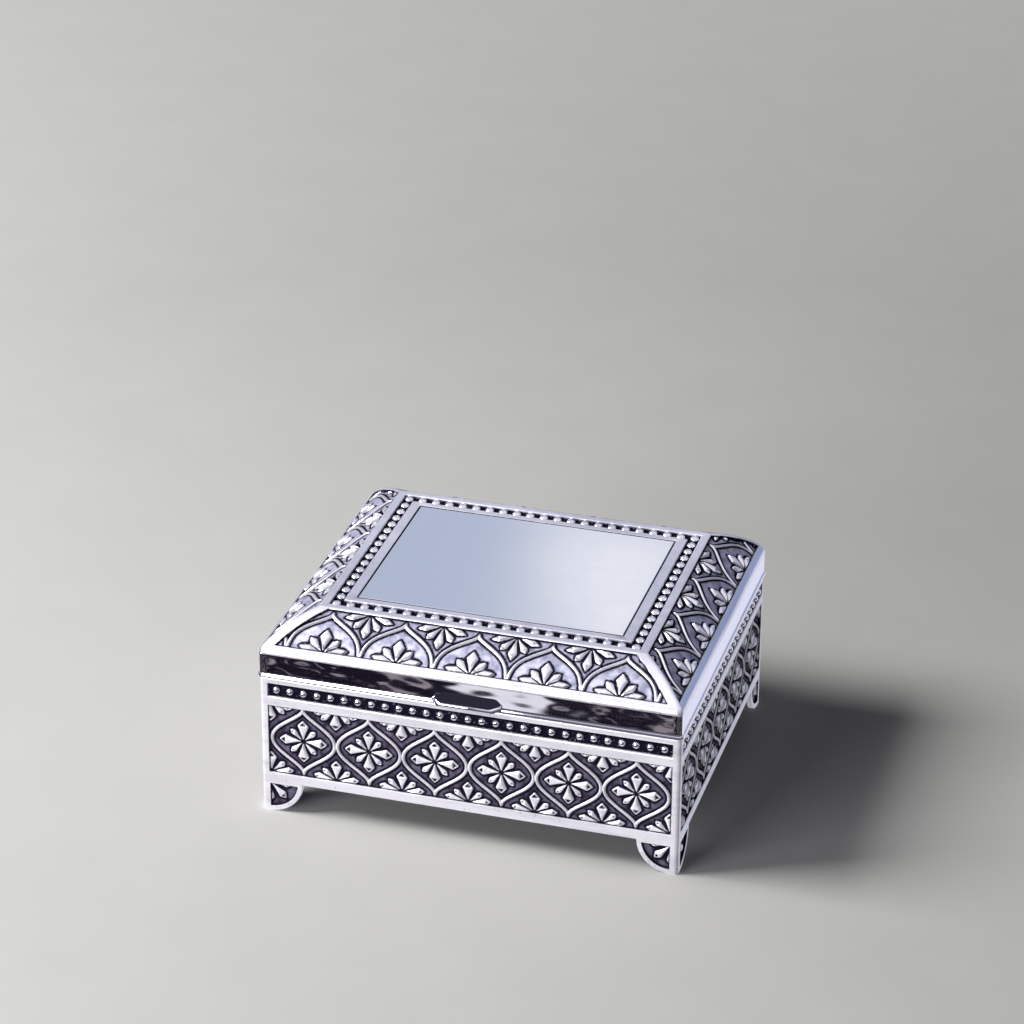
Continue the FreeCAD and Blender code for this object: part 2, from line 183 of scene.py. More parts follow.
def petal(relief, centre, angle, length, half_width, widest, taper, fold):
    """A petal from its flower's centre: a thin stem that widens, then an end with a small hollow."""
    rows = relief.near(centre[0], length)
    from_u = relief.u[rows] - centre[0]
    from_v = relief.v[rows] - centre[1]
    along = (from_u * math.sin(angle) + from_v * math.cos(angle)) / length
    across = np.abs(from_u * math.cos(angle) - from_v * math.sin(angle))
    growth = np.clip((along - STEM_START) / (widest - STEM_START), 0, 1)
    growing = half_width * (STEM_WIDTH + (1 - STEM_WIDTH) * growth ** STEM_GROWTH)
    tapering = half_width * np.clip((1 - along) / (1 - widest), 0, 1) ** taper
    width = np.where(along < widest, growing, tapering)
    inside = np.minimum((width - across) * 0.85, (along - STEM_START) * length)
    inside = np.where(along > 1, -np.hypot((along - 1) * length, across), inside)
    inside = np.where(along < STEM_START, -np.hypot((STEM_START - along) * length, across), inside)
    tip = smooth((along - widest + 0.02) / 0.07)
    # The hollow later turns black: partly patina, partly painted shade in the petal's tip.
    hollow = smooth((inside - HOLLOW_INSET) / HOLLOW_SLOPE) * tip * (1 - fold)
    crown = np.clip(1 - across / np.maximum(width, 0.05), 0, 1)
    body = PETAL_LOW + PETAL_RISE * np.clip(along, 0, 1)
    height = body + crown * (RIDGE + FOLD_RIDGE * fold) - HOLLOW_DEPTH * hollow
    relief.add(rows, inside, height, hollow)


def flower(relief, centre, petals, fold=0.0):
    """Petals round one centre."""
    for angle, length, half_width, widest, taper in petals:
        petal(relief, centre, math.radians(angle), length, half_width, widest, taper, fold)


# A raised line: its edge's height, its dome, and the groove along its middle.
LINE_LOW, LINE_DOME, GROOVE_DEPTH, GROOVE_HALF = 0.22, 0.26, 0.15, 0.13


def ogee_line(relief, centre, half_width, height, shoulder, lean, two_ended):
    """A raised double line along an ogee outline that comes to a point above (and below) its centre."""
    rows = relief.near(centre[0], half_width)
    rise = relief.v[rows] - centre[1]
    climb = np.abs(rise) / height if two_ended else np.maximum(rise, 0) / height
    climb_in = np.clip(climb, 0, 1)
    bend = 1 - climb_in ** shoulder
    width = half_width * bend ** 2 * (1 - lean * climb_in)
    slope = 2 * half_width * bend * shoulder * climb_in ** (shoulder - 1) / height
    sideways = np.abs(relief.u[rows] - centre[0])
    distance = (sideways - width) / np.sqrt(1 + slope * slope)
    past_tip = sideways + (climb - 1) * height / 2
    distance = np.where(climb > 1, past_tip, distance)
    inside = LINE_HALF - np.abs(distance)
    groove = np.exp(-((distance / GROOVE_HALF) ** 2))
    dome = np.sqrt(np.clip(1 - (distance / LINE_HALF) ** 2, 0, 1))
    # The groove also turns black: partly patina, partly a painted dark reflection along the line's middle.
    relief.add(rows, inside, LINE_LOW + LINE_DOME * dome - GROOVE_DEPTH * groove, 0.5 * groove)


# Petals: (angle in degrees from upright, length, half width, where it is widest, how its end tapers).
POINTED, BLUNT = 0.8, 0.5
MEDALLION = {"half_width": 7.74, "height": 8.7, "shoulder": 2.1, "lean": 0.0, "two_ended": True}
MEDALLION_MIDDLE = 19.9
STANDING_FOOT = PANEL_LOW + 0.1
HANGING_FOOT = PANEL_HIGH + 0.9
FLOWER_PETALS = (
    [(angle, 5.6, 1.42, 0.74, POINTED) for angle in (0, 180)]
    + [(angle, 5.9, 1.35, 0.74, POINTED) for angle in (90, 270)]
    + [(angle, 4.3, 0.78, 0.76, BLUNT) for angle in (45, 135, 225, 315)]
)
STANDING_PETALS = (
    [(0, 5.4, 1.4, 0.72, POINTED)]
    + [(angle, 4.4, 0.8, 0.78, BLUNT) for angle in (-50, 50)]
    + [(angle, 5.7, 0.95, 0.78, POINTED) for angle in (-81, 81)]
)
HANGING_PETALS = (
    [(180, 5.4, 1.5, 0.72, POINTED)]
    + [(angle, 4.6, 0.85, 0.78, BLUNT) for angle in (130, 230)]
    + [(angle, 5.6, 1.0, 0.8, POINTED) for angle in (104, 256)]
)


def medallion_field(u, v, count, pitch):
    """A row of ogee medallions, each round a flower, with half flowers above and below between them."""
    relief = Relief(u, v)
    for index in range(count):
        centre = ((index - (count - 1) / 2) * pitch, MEDALLION_MIDDLE)
        ogee_line(relief, centre, **MEDALLION)
        flower(relief, centre, FLOWER_PETALS)
    for index in range(count + 1):
        middle = (index - count / 2) * pitch
        flower(relief, (middle, STANDING_FOOT), STANDING_PETALS)
        flower(relief, (middle, HANGING_FOOT), HANGING_PETALS)
    return relief


ARCH = {"half_width": 8.75, "height": 10.6, "shoulder": 3.3, "lean": 0.2, "two_ended": False}
ARCH_FOLD, DROP_FOLD = 0.8, 0.4
ARCH_PETALS = (
    [(0, 6.0, 1.45, 0.68, POINTED)]
    + [(angle, 4.9, 1.0, 0.72, BLUNT) for angle in (-46, 46)]
    + [(angle, 6.0, 1.05, 0.6, BLUNT) for angle in (-80, 80)]
)
DROP_PETALS = (
    [(180, 6.7, 1.15, 0.72, POINTED)]
    + [(angle, 5.2, 0.9, 0.78, BLUNT) for angle in (144, 216)]
    + [(angle, 6.1, 0.95, 0.7, POINTED) for angle in (106, 254)]
)


def arch_field(u, v, count, foot, top):
    """A row of ogee arches that stand on the foot line, with leaves hanging between them."""
    relief = Relief(u, v)
    for index in range(-1, count + 1):
        centre = ((index - (count - 1) / 2) * ARCH_PITCH, foot)
        ogee_line(relief, centre, **ARCH)
        flower(relief, centre, ARCH_PETALS, fold=ARCH_FOLD)
    for index in range(count + 1):
        flower(relief, ((index - count / 2) * ARCH_PITCH, top), DROP_PETALS, fold=DROP_FOLD)
    return relief


# Patina: how far it spreads from a form's foot and from a field's border, and how sharply a form starts.
OUTLINE_WIDTH, BORDER_WIDTH, FORM_START = 0.75, 0.55, 0.1


def finish_channels(relief, edge):
    """How black and how dull each point is: outlines, hollows and edges, and the floor between; the black
    in hollows and grooves is partly painted shade.
    """
    outside_form = smooth(1.25 + relief.inside / OUTLINE_WIDTH)
    outline = outside_form * smooth(1 - (relief.inside - 0.02) / FORM_START)
    border = smooth(1.1 - edge / BORDER_WIDTH)
    # Outlines and field borders are black patina; the black in petal hollows and line grooves is partly
    # patina and partly painted shade.
    black = np.maximum(np.maximum(outline, relief.hollow * 0.9), border)
    floor = smooth(0.5 - relief.inside / FORM_START)
    in_field = edge > 0
    return np.where(in_field, black, 0), np.where(in_field, floor, 0)


# ------------ materials
class Nodes:
    """A node tree, built one node at a time."""

    def __init__(self, tree):
        self.tree = tree

    def add(self, kind, **settings):
        """A new node with its own settings."""
        node = self.tree.nodes.new(kind)
        for key, value in settings.items():
            setattr(node, key, value)
        return node

    def feed(self, socket, source):
        """Links a socket to another node's output, or sets it to a value."""
        if isinstance(source, bpy.types.NodeSocket):
            self.tree.links.new(source, socket)
        else:
            socket.default_value = source

    def fill(self, node, **sockets):
        """Links or sets a node's inputs, named with _ for a space."""
        for key, source in sockets.items():
            self.feed(node.inputs[key.replace("_", " ")], source)

    def between(self, source, low, high, out_low=0.0, out_high=1.0, kind="LINEAR"):
        """Maps one range of a pattern on to another, clamped."""
        node = self.add("ShaderNodeMapRange", interpolation_type=kind)
        self.fill(node, Value=source, From_Min=low, From_Max=high, To_Min=out_low, To_Max=out_high)
        return node.outputs["Result"]

    def mix(self, share, first, second):
        """A colour between two others."""
        node = self.add("ShaderNodeMix", data_type="RGBA")
        self.feed(node.inputs[0], share)
        for socket, colour in ((node.inputs[6], first), (node.inputs[7], second)):
            self.feed(socket, colour if isinstance(colour, bpy.types.NodeSocket) else (*colour, 1))
        return node.outputs[2]


class Shader(Nodes):
    """A material's node tree, with patterns that follow the object."""

    def __init__(self, name):
        self.material = bpy.data.materials.new(name)
        self.material.use_nodes = True
        super().__init__(self.material.node_tree)
        self.surface = self.tree.nodes["Principled BSDF"]
        self.place = self.add("ShaderNodeTexCoord").outputs["Object"]

    def noise(self, scale, detail=3.0, roughness=0.55, distortion=0.0, stretch=None):
        """A noise pattern between 0 and 1; scale is in waves per metre."""
        node = self.add("ShaderNodeTexNoise")
        place = self.place
        if stretch:
            mapping = self.add("ShaderNodeMapping")
            self.fill(mapping, Vector=place, Scale=stretch)
            place = mapping.outputs["Vector"]
        self.fill(node, Vector=place, Scale=scale, Detail=detail)
        self.fill(node, Roughness=roughness, Distortion=distortion)
        return node.outputs["Fac"]

    def math(self, operation, first, second):
        """One sum on two numbers or patterns."""
        node = self.add("ShaderNodeMath", operation=operation)
        self.feed(node.inputs[0], first)
        self.feed(node.inputs[1], second)
        return node.outputs[0]

    def bump(self, height, strength, depth):
        """Small surface relief; depth is in metres."""
        node = self.add("ShaderNodeBump")
        self.fill(node, Strength=strength, Distance=depth, Height=height)
        self.set(Normal=node.outputs["Normal"])

    def set(self, **sockets):
        """Links or sets the surface's own inputs."""
        self.fill(self.surface, **sockets)


SILVER = (0.88, 0.86, 0.92)
TARNISHED_SILVER = (0.42, 0.40, 0.50)
CLOUDED_SILVER = (0.70, 0.68, 0.80)
PATINA = (0.008, 0.006, 0.016)


def antiqued(name, ground_dark, ground_light, bare_shine, ground_shine):
    """Cast silver: bright where it is worn, dull and mottled on the grounds, black in the recesses; the
    black in hollows and grooves is partly painted shade, and so is the ground colour on the lid top's plain
    strips.
    """
    shader = Shader(name)
    finish = shader.add("ShaderNodeAttribute", attribute_name="finish").outputs["Color"]
    parts = shader.add("ShaderNodeSeparateColor")
    shader.feed(parts.inputs["Color"], finish)
    black, dull, mirror = (parts.outputs[channel] for channel in ("Red", "Green", "Blue"))
    mottle = shader.noise(420, 5.0, 0.6)
    speck = shader.noise(1900, 3.0, 0.6)
    tarnish = shader.noise(300, 3.0, stretch=(0.1, 0.1, 1.0))
    bright = shader.mix(shader.between(tarnish, 0.45, 0.75, 0.0, 0.5), SILVER, TARNISHED_SILVER)
    mottled = shader.mix(shader.between(mottle, 0.38, 0.62), ground_dark, ground_light)
    # The dull channel turns the colour to the mottled ground: patina on the relief's grounds, painted shade
    # on the lid top's plain strips.
    colour = shader.mix(dull, bright, mottled)
    ragged = shader.math("MULTIPLY", black, shader.between(speck, 0.3, 0.5, 0.75, 1.15))
    colour = shader.mix(shader.between(ragged, 0.15, 0.9), colour, PATINA)
    uneven = shader.between(mottle, 0.3, 0.7, -0.04, 0.04)
    roughness = shader.math("ADD", shader.between(dull, 0, 1, 0.3, 0.46), uneven)
    roughness = shader.math("MAXIMUM", roughness, shader.between(black, 0, 1, 0.0, 0.55))
    roughness = shader.math("MULTIPLY", roughness, shader.between(mirror, 0, 1, 1.0, 0.3))
    worked = shader.math("MAXIMUM", dull, black)
    shine = shader.between(dull, 0, 1, bare_shine, ground_shine)
    metallic = shader.math("MULTIPLY", shine, shader.between(black, 0.1, 0.9, 1.0, 0.0))
    metallic = shader.math("MAXIMUM", metallic, mirror)
    shader.set(Base_Color=colour, Metallic=metallic, Roughness=roughness)
    shader.set(Specular_IOR_Level=shader.between(worked, 0.1, 0.9, 0.2, 0.0))
    rough = shader.math("ADD", mottle, speck)
    shader.bump(shader.math("MULTIPLY", rough, worked), 0.5, 0.00008)
    return shader.material


def smooth_silver(name, cloud_scale, line_scale, stretch, clouding, colours, shine):
    """Smooth silver with faint clouding and the fine lines of a cloth."""
    shader = Shader(name)
    cloud = shader.noise(cloud_scale, 3.0)
    lines = shader.noise(line_scale, 2.0, stretch=(stretch, 1.0, 1.0))
    colour = shader.mix(shader.between(cloud, *clouding, 0, 0.3), *colours)
    clouded = shader.between(cloud, 0.3, 0.7, *shine)
    roughness = shader.math("ADD", clouded, shader.between(lines, 0.4, 0.7, 0, 0.01))
    shader.set(Base_Color=colour, Metallic=1.0, Roughness=roughness)
    return shader.material


def polished():
    """The mirror-bright silver of the rim and the thumb lift."""
    colours = (SILVER, CLOUDED_SILVER)
    return smooth_silver("polished_silver", 60, 900, 0.15, (0.45, 0.75), colours, (0.015, 0.03))


def satin():
    """The lid plate's satin silver."""
    colours = ((0.88, 0.88, 0.91), (0.84, 0.84, 0.90))
    return smooth_silver("satin_silver", 45, 1500, 0.2, (0.4, 0.7), colours, (0.07, 0.09))


def hinge_metal():
    """Silver-plated hinge metal, a little dulled in patches."""
    shader = Shader("hinge_silver")
    patches = shader.noise(240, 4.0)
    colour = shader.mix(shader.between(patches, 0.45, 0.75), (0.76, 0.74, 0.80), (0.60, 0.58, 0.65))
    shader.set(Base_Color=colour, Metallic=0.9, Roughness=shader.between(patches, 0.3, 0.7, 0.22, 0.36))
    shader.bump(patches, 0.05, 0.00002)
    return shader.material


def velvet():
    """Short dark blue pile that brightens towards its edges and is brushed in patches."""
    shader = Shader("velvet")
    brushed = shader.noise(55, 4.0, 0.6, 0.6)
    pile = shader.noise(3200, 2.0, 0.6)
    colour = shader.mix(shader.between(brushed, 0.35, 0.65), (0.007, 0.009, 0.034), (0.014, 0.018, 0.060))
    colour = shader.mix(shader.between(pile, 0.35, 0.7, 0, 0.5), colour, (0.004, 0.005, 0.018))
    shader.set(Base_Color=colour, Roughness=shader.between(brushed, 0.3, 0.7, 0.85, 1.0))
    shader.set(Sheen_Weight=0.45, Sheen_Roughness=0.4, Sheen_Tint=(0.36, 0.42, 0.80, 1))
    shader.set(Specular_IOR_Level=0.2)
    shader.bump(pile, 0.6, 0.00025)
    return shader.material


def felt():
    """Matted dark felt under the box."""
    shader = Shader("felt")
    fibres = shader.noise(1600, 5.0, 0.7, 1.2)
    clumps = shader.noise(260, 3.0)
    colour = shader.mix(shader.between(fibres, 0.35, 0.65), (0.018, 0.02, 0.035), (0.05, 0.055, 0.085))
    colour = shader.mix(shader.between(clumps, 0.4, 0.7, 0, 0.5), colour, (0.03, 0.03, 0.05))
    shader.set(Base_Color=colour, Roughness=shader.between(fibres, 0.3, 0.7, 0.9, 1.0), Sheen_Weight=0.4)
    shader.bump(fibres, 0.7, 0.0002)
    return shader.material


def card():
    """Grey board behind the velvet."""
    shader = Shader("card")
    fibres = shader.noise(900, 4.0, 0.6, stretch=(0.4, 1.0, 1.0))
    colour = shader.mix(shader.between(fibres, 0.35, 0.65), (0.33, 0.30, 0.26), (0.45, 0.42, 0.37))
    shader.set(Base_Color=colour, Roughness=shader.between(fibres, 0.3, 0.7, 0.8, 0.95))
    shader.bump(fibres, 0.3, 0.00008)
    return shader.material


# The two copies share the bright silver and differ in their grounds: the walls' grounds hold dark patina
# and are painted darker than the lid's as painted shade on the upright walls.
shaded_wall_silver = antiqued("antiqued_shaded_wall_silver", (0.030, 0.025, 0.042), (0.13, 0.115, 0.17), 0.45, 0.2)
lid_silver = antiqued("antiqued_lid_silver", (0.22, 0.22, 0.31), (0.47, 0.47, 0.59), 0.85, 0.55)
polished_silver = polished()
satin_silver = satin()
hinge_silver = hinge_metal()
velvet_cloth = velvet()
felt_cloth = felt()
grey_card = card()


# ------------ meshes
def placed(name, data):
    """A new object in the scene."""
    thing = bpy.data.objects.new(name, data)
    bpy.context.scene.collection.objects.link(thing)
    return thing


class Shells:
    """Closed shells gathered into one mesh, with a finish (black, dull, mirror) at every point."""

    def __init__(self):
        self.points = []
        self.finish = []
        self.faces = []
        self.count = 0

    def loft(self, loops, finish=(0, 0, 0), ring=False):
        """A shell through a row of closed outlines, (outlines, points, 3), capped unless it is a ring."""
        columns, around, _ = loops.shape
        index = self.count + np.arange(columns * around).reshape(columns, around)
        here = index if ring else index[:-1]
        there = np.roll(index, -1, axis=0) if ring else index[1:]
        quads = np.stack([here, there, np.roll(there, -1, axis=1), np.roll(here, -1, axis=1)], axis=-1)
        self.faces += quads.reshape(-1, 4).tolist()
        if not ring:
            self.faces += [index[0].tolist(), index[-1, ::-1].tolist()]
        self.points.append(loops.reshape(-1, 3))
        self.finish.append(np.broadcast_to(finish, loops.shape).reshape(-1, 3))
        self.count += columns * around

    def closed(self, face, finish, back):
        """A shell whose outlines run over a finished face and along a plain back."""
        plain = np.zeros_like(back)
        self.loft(np.concatenate([face, back], axis=1), np.concatenate([finish, plain], axis=1))

    def flat_backed(self, face, level):
        """A shell whose outlines run over a plain face and back at one level."""
        back = face[:, [-1, 0]].copy()
        back[..., 2] = level
        self.loft(np.concatenate([face, back], axis=1))

    def piece(self, name, material, body, slot, stands_for, crease=35):
        """The finished mesh as a piece on a body, standing for CAD nodes."""
        mesh = bpy.data.meshes.new(name)
        mesh.from_pydata(np.vstack(self.points) * MM, [], self.faces)
        attribute = mesh.attributes.new("finish", "FLOAT_COLOR", "POINT")
        finish = np.vstack(self.finish)
        colours = np.hstack([finish, np.ones((len(finish), 1))])
        attribute.data.foreach_set("color", colours.astype(np.float32).ravel())
        work = bmesh.new()
        work.from_mesh(mesh)
        bmesh.ops.recalc_face_normals(work, faces=work.faces)
        work.to_mesh(mesh)
        work.free()
        mesh.shade_smooth()
        mesh.set_sharp_from_angle(angle=math.radians(crease))
        mesh.materials.append(material)
        piece = placed(name, mesh)
        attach(piece, body)
        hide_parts(*stands_for)
        return piece


def spaced(low, high, step):
    """Evenly spaced numbers from low to high, about a step apart."""
    return np.linspace(low, high, max(2, round((high - low) / step) + 1))


def edged(half, step, edge):
    """Evenly spaced numbers from -half to half, with one more line close to each end."""
    return np.concatenate([[-half], spaced(edge - half, half - edge, step), [half]])


def side_columns(half_along, radius, step, arc_steps=4):
    """Places along one side: a share of the straight run, and an angle round the corner at each end."""
    arc = np.linspace(0, math.pi / 4, arc_steps + 1)
    straight = spaced(-1, 1, step / (half_along - radius))
    share = np.concatenate([np.full(arc_steps, -1.0), straight, np.full(arc_steps, 1.0)])
    angle = np.concatenate([-arc[:0:-1], np.zeros(len(straight)), arc[1:]])
    return share, angle


def side_point(share, angle, half_along, half_out, radius):
    """Where a column meets a rounded rectangle: how far along the side and how far out."""
    along = share * (half_along - radius) + radius * np.sin(angle)
    out = half_out - radius + radius * np.cos(angle)
    return along, out


def turned(along, out, up, quarter_turns):
    """Points from a side's own directions (along, outwards, up) to the frame's."""
    cosine = round(math.cos(quarter_turns * math.pi / 2))
    sine = round(math.sin(quarter_turns * math.pi / 2))
    return np.stack([along * cosine + out * sine, along * sine - out * cosine, up], axis=-1)


def ring_loops(profile, step):
    """Outlines round a rounded rectangle; a profile row is (half x, half y, corner radius, height)."""
    half_x, half_y, radius, height = np.array(profile, float).T
    sides = []
    for quarter_turns in range(4):
        halves = (half_x, half_y) if quarter_turns % 2 == 0 else (half_y, half_x)
        share, angle = side_columns(halves[0].max(), radius.max(), step)
        share, angle = share[:-1, None], angle[:-1, None]
        along, out = side_point(share, angle, halves[0], halves[1], radius)
        sides.append(turned(along, out, np.broadcast_to(height, along.shape), quarter_turns))
    return np.concatenate(sides)


BEAD_STEPS = ((1.0, 0.0), (0.99, 0.34), (0.9, 0.62), (0.7, 0.84), (0.4, 0.96), (0.08, 1.0))
BEAD_SIDES = 14
BEAD_SUNK = 0.05


def bead(shells, foot, outwards, radius, tall):
    """A domed bead standing on a point, black round its foot and mirror-bright on top."""
    outwards = np.array(outwards, float)
    across = np.cross(outwards, (0.0, 0.0, 1.0) if abs(outwards[2]) < 0.5 else (1.0, 0.0, 0.0))
    up = np.cross(across, outwards)
    turn = np.arange(BEAD_SIDES) / BEAD_SIDES * 2 * math.pi
    circle = np.cos(turn)[:, None] * across + np.sin(turn)[:, None] * up
    widths = np.array(BEAD_STEPS)[:, 0, None, None] * radius
    heights = np.array(BEAD_STEPS)[:, 1, None, None] * tall
    black = 1 - smooth(np.array(BEAD_STEPS)[:, 1] / 0.5)
    finish = np.stack([black, np.zeros_like(black), 1 - black], axis=-1)[:, None, :]
    shells.loft(np.array(foot) + widths * circle + heights * outwards, finish)


# ------------ case walls
def field_finish(relief, edge):
    """How high and how finished a recessed field and its ornament are, from the distance to its border."""
    black, floor = finish_channels(relief, edge)
    ornament = relief.height * smooth((edge - 0.1) / 0.3)
    height = np.where(edge > 0, ornament - FIELD_DEPTH * smooth(edge / FIELD_WALL), 0)
    return height, np.stack([black, floor, 0 * black], axis=-1)


def averaged(field, u, v):
    """A field's height and finish, averaged over four places round each point for even slanting edges."""
    samples = [field(u + shift_u, v + shift_v)
               for shift_u in (-SAMPLE_SPREAD, SAMPLE_SPREAD)
               for shift_v in (-SAMPLE_SPREAD, SAMPLE_SPREAD)]
    height = sum(sample[0] for sample in samples) / len(samples)
    finish = sum(sample[1] for sample in samples) / len(samples)
    return height, finish


def band_finish(edge):
    """The black channel that the beads stand in."""
    black = smooth(edge / 0.25)
    return -BAND_DEPTH * smooth(edge / FIELD_WALL), np.stack([black, 0 * black, 0 * black], axis=-1)


def rounded_over(distance, radius):
    """How far a face falls back near an edge that is rounded over."""
    within = np.clip(1 - distance / radius, 0, 1)
    return radius * (1 - np.sqrt(1 - within * within))


def case_wall(name, half_along, half_out, medallions, pitch, beads, bead_gap, quarter_turns):
    """A wall of the case with its ornament panel, its bead band, and half of each corner it meets."""
    share, angle = side_columns(half_along, CORNER_ROUND, GRID)
    along, out = side_point(share, angle, half_along, half_out, CORNER_ROUND)
    level = spaced(foot_height, case_top, GRID)
    run = share * (half_along - CORNER_ROUND) + CORNER_ROUND * angle
    u, z = np.meshgrid(run, level, indexing="ij")

    def panel(u, z):
        beside = half_along - POST - np.abs(u)
        edge = np.minimum(np.minimum(z - PANEL_LOW, PANEL_HIGH - z), beside)
        return field_finish(medallion_field(u, z, medallions, pitch), edge)

    height, finish = averaged(panel, u, z)
    beside = half_along - POST - np.abs(u)
    band_edge = np.minimum(np.minimum(z - BAND_LOW, BAND_HIGH - z), beside)
    band_height, band = band_finish(band_edge)
    height = np.where(band_edge > 0, band_height, height)
    finish = np.where(band_edge[..., None] > 0, band, finish)
    height = height - rounded_over(case_top - z, TOP_ROUND)
    along = along[:, None] + height * np.sin(angle)[:, None]
    out = out[:, None] + height * np.cos(angle)[:, None]
    face = turned(along, out, z, quarter_turns)
    inner_along = share * (half_along - wall_thickness)
    inner_out = np.full_like(inner_along, half_out - wall_thickness)
    back = [turned(inner_along, inner_out, np.full_like(inner_along, edge), quarter_turns)
            for edge in (case_top, foot_height)]
    shells = Shells()
    shells.closed(face, finish, np.stack(back, axis=1))
    middle = (BAND_LOW + BAND_HIGH) / 2
    outwards = turned(0.0, 1.0, 0.0, quarter_turns)
    for index in range(beads):
        place = (index - (beads - 1) / 2) * bead_gap
        behind_hinge = quarter_turns == 2 and abs(place) < hinge_half_length + WALL_BEAD
        if not behind_hinge:
            base = half_out - BAND_DEPTH - BEAD_SUNK
            foot = turned(place, base, middle, quarter_turns)
            bead(shells, foot, outwards, WALL_BEAD, BAND_DEPTH + 0.15)
    shells.piece(name + "_relief", shaded_wall_silver, "case", "antiqued_silver", [name])


# ------------ feet
# A foot plate's plain strips: along its arc and under the wall. Then its rows and columns of points.
ARC_STRIP, UPPER_STRIP = 1.2, 0.7
FOOT_ROWS, FOOT_COLUMNS = 90, 100
FOOT_PETALS = (
    (90, 5.4, 1.0, 0.76, POINTED),
    (135, 5.6, 1.1, 0.76, POINTED),
    (180, 5.4, 1.0, 0.76, POINTED),
)


def foot_plate(shells, half_along, half_out, end, quarter_turns):
    """One quarter-round plate of a bracket foot, with a quarter flower in its field."""
    post = foot_reach - foot_height
    sweep = np.linspace(0, math.pi / 2, FOOT_ROWS)
    level = foot_height * (1 - np.cos(sweep))
    reach = post + foot_height * np.sin(sweep)
    turn_length = CORNER_ROUND * (math.pi / 4 - 1)
    across = np.linspace(0, 1, FOOT_COLUMNS)
    from_corner = reach[:, None] + (-turn_length - reach[:, None]) * across
    run = half_along - from_corner
    straight = half_along - CORNER_ROUND
    angle = np.clip(run - straight, 0, None) / CORNER_ROUND
    along = np.minimum(run, straight) + CORNER_ROUND * np.sin(angle)
    out = half_out - CORNER_ROUND * (1 - np.cos(angle))
    z = np.broadcast_to(level[:, None], run.shape)

    def quarter(u, z):
        edge = foot_height - np.hypot(np.maximum(u - post, 0), foot_height - z) - ARC_STRIP
        edge = np.minimum(edge, np.minimum(u - post, foot_height - UPPER_STRIP - z))
        relief = Relief(u, z)
        flower(relief, (post - 0.1, foot_height - 0.6), FOOT_PETALS)
        return field_finish(relief, edge)

    height, finish = averaged(quarter, from_corner, z)
    height = height - rounded_over(np.minimum(reach[:, None] - from_corner, z + 0.2), 0.25)
    face_along = end * (along + height * np.sin(angle))
    face = turned(face_along, out + height * np.cos(angle), z, quarter_turns)
    inner_out = np.full_like(reach, half_out - wall_thickness)
    back = [
        turned(end * (half_along - wall_thickness) + 0 * reach, inner_out, level, quarter_turns),
        turned(end * (half_along - reach), inner_out, level, quarter_turns),
    ]
    shells.closed(face, finish, np.stack(back, axis=1))


def bracket_foot(name, side_x, side_y):
    """A foot's two plates, one on each side of its corner of the case."""
    shells = Shells()
    front_turns = 0 if side_y < 0 else 2
    side_turns = 1 if side_x > 0 else 3
    foot_plate(shells, case_half_x, case_half_y, side_x if side_y < 0 else -side_x, front_turns)
    foot_plate(shells, case_half_y, case_half_x, side_y if side_x > 0 else -side_y, side_turns)
    shells.piece(name + "_bracket", shaded_wall_silver, "case", "antiqued_silver", [name])


# ------------ lid
def slope_share(climb):
    """How far in and how far up the bulging slope is, as shares, a share of the way from eave to crest."""
    bulge = 4 * climb * (1 - climb)
    return climb - BULGE_IN * bulge, climb + BULGE_UP * bulge


def eave_curve(start, corner, end):
    """One coordinate of the rounded eave: a curve from the upright rim into the slope."""
    turn = np.arange(EAVE_STEPS) / EAVE_STEPS
    return start * (1 - turn) ** 2 + corner * 2 * turn * (1 - turn) + end * turn ** 2


def lid_slope(name, half_along, half_out, flat_along, flat_out, quarter_turns,
              arches, hip_strip, foot_strip):
    """One convex side of the lid with its row of arches, and half of each hip."""
    climb = np.linspace(EAVE_SHARE, 1, SLOPE_STEPS)
    inward, upward = slope_share(climb)
    slope_half = half_along + (flat_along - half_along) * inward
    slope_out = half_out + (flat_out - half_out) * inward
    slope_up = EAVE_HEIGHT + (crest - EAVE_HEIGHT) * upward
    first = math.hypot(half_out - slope_out[0], slope_up[0] - EAVE_HEIGHT)
    half_now = np.concatenate([eave_curve(half_along, half_along, slope_half[0]), slope_half])
    out_now = np.concatenate([eave_curve(half_out, half_out, slope_out[0]), slope_out])
    up_now = np.concatenate([eave_curve(RIM_TOP, EAVE_HEIGHT - 0.1, slope_up[0]), slope_up])
    fall = np.gradient(out_now)
    rise = np.gradient(up_now)
    length = np.hypot(fall, rise)
    out_normal = rise / length
    up_normal = -fall / length
    steps = np.hypot(np.diff(out_now), np.diff(up_now))
    travel = np.concatenate([[0], np.cumsum(steps)])
    travel += first - travel[EAVE_STEPS]
    share, angle = side_columns(half_along, HIP_ROUND, GRID)
    radius = HIP_ROUND + (LID_CORNER - HIP_ROUND) * np.clip(1 - travel / 3, 0, 1)
    along, out = side_point(share[:, None], angle[:, None], half_now, out_now, radius)
    v = np.broadcast_to(travel, along.shape)
    hip_angle = math.atan2(half_along - flat_along, travel[-1])

    def panel(u, v):
        hip_edge = (half_now - np.abs(u)) * math.cos(hip_angle) - hip_strip
        edge = np.minimum(np.minimum(v - foot_strip, travel[-1] - 0.5 - v), hip_edge)
        return field_finish(arch_field(u, v, arches, foot_strip, travel[-1] - 0.4), edge)

    height, finish = averaged(panel, along, v)
    turned_out = out + height * out_normal * np.cos(angle)[:, None]
    face = turned(along, turned_out, up_now + height * up_normal, quarter_turns)
    back_along = share[:, None] * (half_now[[-1, 0]] - LID_WALL)
    back_out = np.broadcast_to(out_now[[-1, 0]] - LID_WALL, back_along.shape)
    back_up = np.broadcast_to(up_now[[-1, 0]] - (LID_WALL, 0.3), back_along.shape)
    back = turned(back_along, back_out, back_up, quarter_turns)
    shells = Shells()
    shells.closed(face, finish, back)
    shells.piece(name, lid_silver, "lid", "antiqued_silver", ["lid_shell"])


